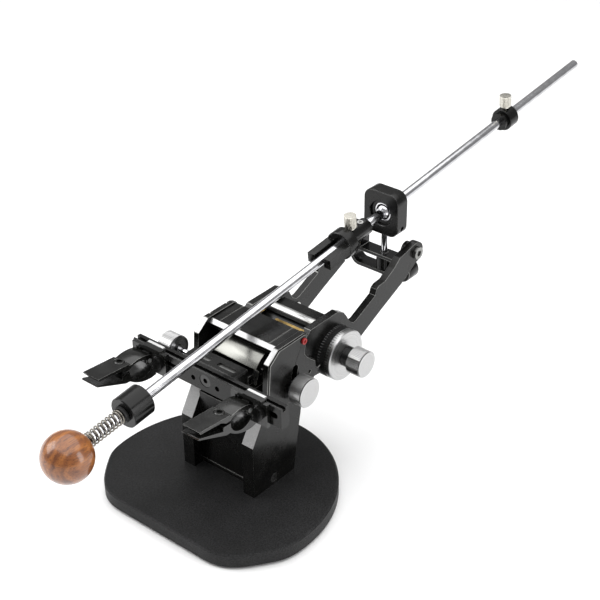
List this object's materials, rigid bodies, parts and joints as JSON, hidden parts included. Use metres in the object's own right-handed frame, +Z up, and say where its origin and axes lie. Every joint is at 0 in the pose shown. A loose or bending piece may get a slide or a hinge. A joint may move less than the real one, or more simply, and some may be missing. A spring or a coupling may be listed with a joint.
{
  "type": "guided-rod knife sharpening system",
  "caption": "Free-standing guided-rod honing system: D-shaped base, pedestal head, turning clamp bar with blade clamps, tilting arms, ball bearing hinge and a sliding rod with ball handle.",
  "frame": {"origin": "centre of the base's resting face, under the rubber feet", "axes": "+X right along the clamp bar seen from the handle, +Y backwards away from the handle, +Z up"},
  "size_m": [0.196, 0.6987, 0.2132],
  "materials": {
    "base_black": "fine-textured powder coat",
    "body_black": "black anodised, satin",
    "clamp_black": "blackened steel, satin",
    "bright_aluminium": "turned, bright",
    "steel": "brushed",
    "chrome": "polished",
    "black_plastic": "satin",
    "rubber": "matt",
    "brass": "polished",
    "red": "gloss",
    "wood": "lacquered"
  },
  "bodies": {
    "head": {"base_plate": "base_black", "rubber_feet": "rubber", "pedestal_left": "body_black", "pedestal_right": "body_black", "pedestal_web": "body_black", "side_screws": "steel", "head_core": "body_black", "cheek_left": "body_black", "cheek_right": "body_black", "top_plate": "body_black", "steel_tray": "steel", "split_block": "body_black", "brass_strip": "brass", "red_set_screw": "red", "pivot_bracket": "body_black", "pivot_axle": "steel"},
    "bar": {"clamp_bar": "body_black", "rotary_shaft": "steel", "bar_screw": "clamp_black"},
    "bar_lock": {"bar_lock_stud": "steel", "bar_lock_knob": "bright_aluminium"},
    "arms": {"arm_left": "body_black", "arm_right": "body_black", "cross_shaft": "chrome", "arm_screw": "steel", "lock_stud": "steel"},
    "dial": {"dial_hub": "body_black", "dial_disc": "bright_aluminium"},
    "dial_knob_body": {"dial_knob": "bright_aluminium"},
    "arm_lock": {"arm_lock_knob": "bright_aluminium"},
    "yoke": {"trunnion_yoke": "body_black", "yoke_screws": "steel"},
    "nut": {"micro_nut": "bright_aluminium"},
    "hinge": {"hinge_pin": "chrome", "hinge_block": "body_black", "bearing_race": "steel"},
    "liner": {"bearing_liner": "steel"},
    "ball": {"bearing_ball": "chrome"},
    "sleeve": {"bearing_sleeve": "chrome"},
    "guide": {"guide_rod": "chrome", "handle_ball": "wood", "spring": "steel"},
    "front_holder_body": {"front_holder": "body_black", "spring_washer": "black_plastic"},
    "rear_holder_body": {"rear_holder": "body_black", "rear_set_screw": "steel"},
    "rear_thumb": {"rear_thumbscrew": "steel"},
    "end_stop_body": {"end_stop": "body_black"},
    "end_thumb": {"end_thumbscrew": "steel"},
    "left_clamp": {"left_carriage": "clamp_black", "left_clamp_fittings": "steel"},
    "left_jaw": {"left_upper_jaw": "clamp_black"},
    "left_jaw_bolt": {"left_jaw_screw": "clamp_black"},
    "left_clamp_lock": {"left_clamp_knob": "body_black"},
    "right_clamp": {"right_carriage": "clamp_black", "right_clamp_fittings": "steel"},
    "right_jaw": {"right_upper_jaw": "clamp_black"},
    "right_jaw_bolt": {"right_jaw_screw": "clamp_black"},
    "right_clamp_lock": {"right_clamp_knob": "body_black"}
  },
  "joints": [
    {"name": "bar_turn", "type": "hinge", "parent": "head", "child": "bar", "pos_m": [0, -0.0165, 0.1163], "axis": [0, 1, 0], "range_deg": [-50, 50]},
    {"name": "left_clamp_slide", "type": "slide", "parent": "bar", "child": "left_clamp", "axis": [1, 0, 0], "range_m": [-0.002, 0.038]},
    {"name": "right_clamp_slide", "type": "slide", "parent": "bar", "child": "right_clamp", "axis": [1, 0, 0], "range_m": [-0.028, 0.011]},
    {"name": "bar_lock_turn", "type": "hinge", "parent": "head", "child": "bar_lock", "pos_m": [-0.05, -0.0052, 0.1163], "axis": [1, 0, 0], "range_deg": [-180, 180]},
    {"name": "arm_tilt", "type": "hinge", "parent": "head", "child": "arms", "pos_m": [0, 0.092, 0.098], "axis": [1, 0, 0], "range_deg": [-14, 3.5]},
    {"name": "dial_turn", "type": "hinge", "parent": "arms", "child": "dial", "pos_m": [0.043, 0.092, 0.098], "axis": [1, 0, 0], "continuous": true},
    {"name": "dial_knob_turn", "type": "hinge", "parent": "arms", "child": "dial_knob_body", "pos_m": [0.06, 0.092, 0.098], "axis": [1, 0, 0], "continuous": true},
    {"name": "arm_lock_turn", "type": "hinge", "parent": "arms", "child": "arm_lock", "pos_m": [0.05, 0.0334, 0.0975], "axis": [1, 0, 0], "range_deg": [-180, 180]},
    {"name": "yoke_tilt", "type": "hinge", "parent": "arms", "child": "yoke", "pos_m": [0, 0.2044, 0.1397], "axis": [-1, 0, 0], "range_deg": [-1.5, 12]},
    {"name": "block_lift", "type": "slide", "parent": "yoke", "child": "hinge", "axis": [0, 0, 1], "range_m": [-0.004, 0.012]},
    {"name": "nut_turn", "type": "hinge", "parent": "yoke", "child": "nut", "pos_m": [0, 0.2044, 0.119], "axis": [0, 0, 1], "range_deg": [-1800, 5400]},
    {"name": "rod_swing", "type": "hinge", "parent": "hinge", "child": "liner", "pos_m": [0, 0.2044, 0.16925], "axis": [0, 0, 1], "range_deg": [-7.5, 7.5]},
    {"name": "rod_tilt", "type": "hinge", "parent": "liner", "child": "ball", "pos_m": [0, 0.2044, 0.16925], "axis": [-1, 0, 0], "range_deg": [-1.5, 12]},
    {"name": "rod_turn", "type": "hinge", "parent": "ball", "child": "sleeve", "pos_m": [0, 0.2044, 0.16925], "axis": [0, 0.9939, 0.1107], "continuous": true},
    {"name": "rod_slide", "type": "slide", "parent": "sleeve", "child": "guide", "axis": [0, 0.9939, 0.1107], "range_m": [-0.08, 0.005]},
    {"name": "front_holder_slide", "type": "slide", "parent": "guide", "child": "front_holder_body", "axis": [0, 0.9939, 0.1107], "range_m": [-0.012, 0], "stiffness_N_per_m": 400, "springref_m": 0.003, "deforming": ["spring"]},
    {"name": "rear_holder_slide", "type": "slide", "parent": "guide", "child": "rear_holder_body", "axis": [0, 0.9939, 0.1107], "range_m": [-0.08, 0.001]},
    {"name": "rear_thumb_turn", "type": "hinge", "parent": "rear_holder_body", "child": "rear_thumb", "pos_m": [0, 0.15578, 0.1759], "axis": [0, -0.1107, 0.9939], "range_deg": [-180, 180]},
    {"name": "end_stop_slide", "type": "slide", "parent": "guide", "child": "end_stop_body", "axis": [0, 0.9939, 0.1107], "range_m": [-0.06, 0.09]},
    {"name": "end_thumb_turn", "type": "hinge", "parent": "end_stop_body", "child": "end_thumb", "pos_m": [0, 0.3885, 0.20485], "axis": [0, -0.1107, 0.9939], "range_deg": [-180, 180]},
    {"name": "left_jaw_open", "type": "hinge", "parent": "left_clamp", "child": "left_jaw", "pos_m": [-0.062, -0.031, 0.1158], "axis": [-1, 0, 0], "range_deg": [0, 4]},
    {"name": "left_jaw_screw_turn", "type": "hinge", "parent": "left_jaw", "child": "left_jaw_bolt", "pos_m": [-0.062, -0.055, 0.124], "axis": [0, 0.0895, 0.996], "range_deg": [0, 880]},
    {"name": "left_clamp_lock_turn", "type": "hinge", "parent": "left_clamp", "child": "left_clamp_lock", "pos_m": [-0.0455, -0.031, 0.1163], "axis": [0, 1, 0], "range_deg": [-180, 180]},
    {"name": "right_jaw_open", "type": "hinge", "parent": "right_clamp", "child": "right_jaw", "pos_m": [0.043, -0.031, 0.1158], "axis": [-1, 0, 0], "range_deg": [0, 4]},
    {"name": "right_jaw_screw_turn", "type": "hinge", "parent": "right_jaw", "child": "right_jaw_bolt", "pos_m": [0.043, -0.055, 0.124], "axis": [0, 0.0895, 0.996], "range_deg": [0, 880]},
    {"name": "right_clamp_lock_turn", "type": "hinge", "parent": "right_clamp", "child": "right_clamp_lock", "pos_m": [0.0595, -0.031, 0.1163], "axis": [0, 1, 0], "range_deg": [-180, 180]}
  ],
  "couplings": [
    {"joint": "nut_turn", "follows": "block_lift", "rad_per_m": 6283.2},
    {"joint": "left_jaw_screw_turn", "follows": "left_jaw_open", "ratio": 215.42},
    {"joint": "right_jaw_screw_turn", "follows": "right_jaw_open", "ratio": 215.42}
  ]
}
